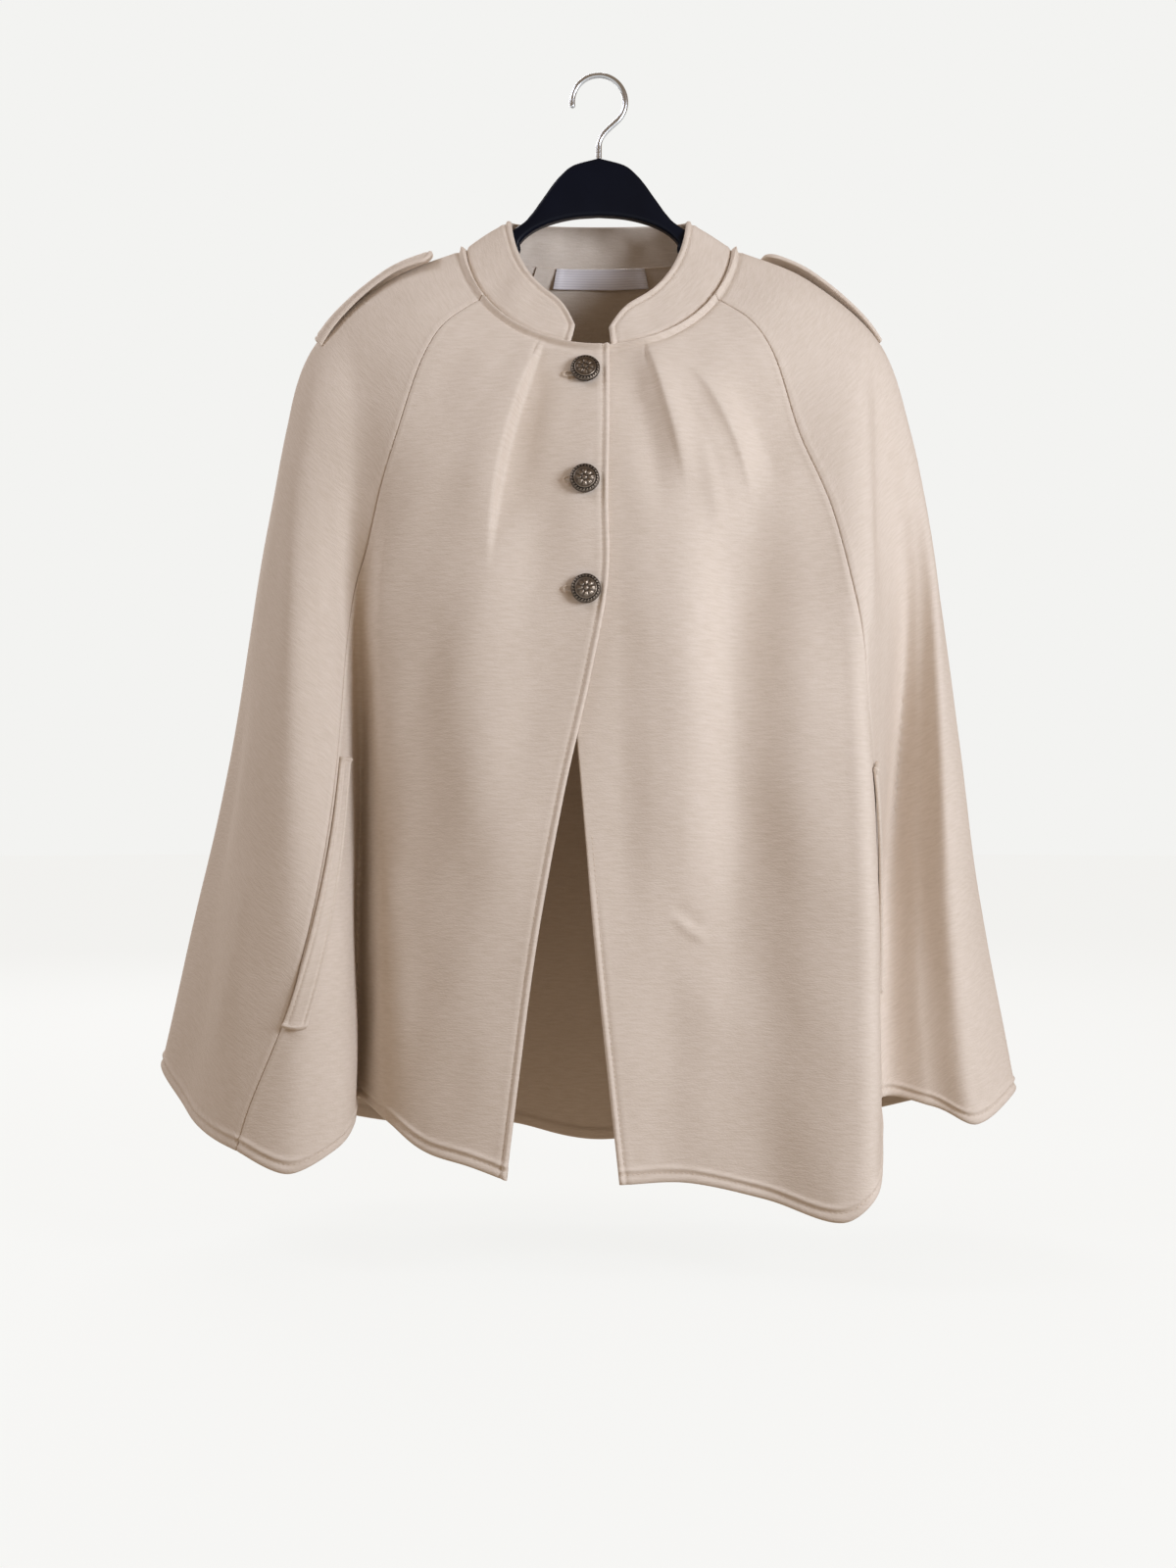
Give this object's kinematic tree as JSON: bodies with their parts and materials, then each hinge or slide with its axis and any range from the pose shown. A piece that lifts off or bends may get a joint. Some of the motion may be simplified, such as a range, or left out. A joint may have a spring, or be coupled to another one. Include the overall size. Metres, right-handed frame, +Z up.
{
  "type": "cape jacket on a hanger",
  "caption": "Sleeveless cape jacket of thick cream knit with a stand collar, raglan shoulders, epaulettes, welted arm slits and a buttoned front, hung on a broad black hanger.",
  "frame": {"origin": "where a rail carries the hook: the inside of the hook's crown", "axes": "+Z up along the hanger's shank, +X to the wearer's left along the hanger's arms, and the jacket's front faces -Y"},
  "size_m": [0.6238, 0.295, 0.7902],
  "materials": {
    "knit": "thick double knit, matte, with a fine level slub",
    "button_metal": "antiqued, dark in the hollows",
    "label_satin": "white satin ribbon",
    "hanger_plastic": "black moulded plastic, satin",
    "hook_wire": "bright steel wire"
  },
  "bodies": {
    "root": {"front_right": "knit", "front_left": "knit", "side_right": "knit", "side_left": "knit", "back": "knit", "collar": "knit", "epaulette_right": "knit", "epaulette_left": "knit", "welt_right": "knit", "welt_left": "knit", "button_1": "button_metal", "button_2": "button_metal", "button_3": "button_metal", "neck_label": "label_satin", "hang_loop": "knit", "hanger": "hanger_plastic", "hook": "hook_wire"}
  },
  "joints": []
}
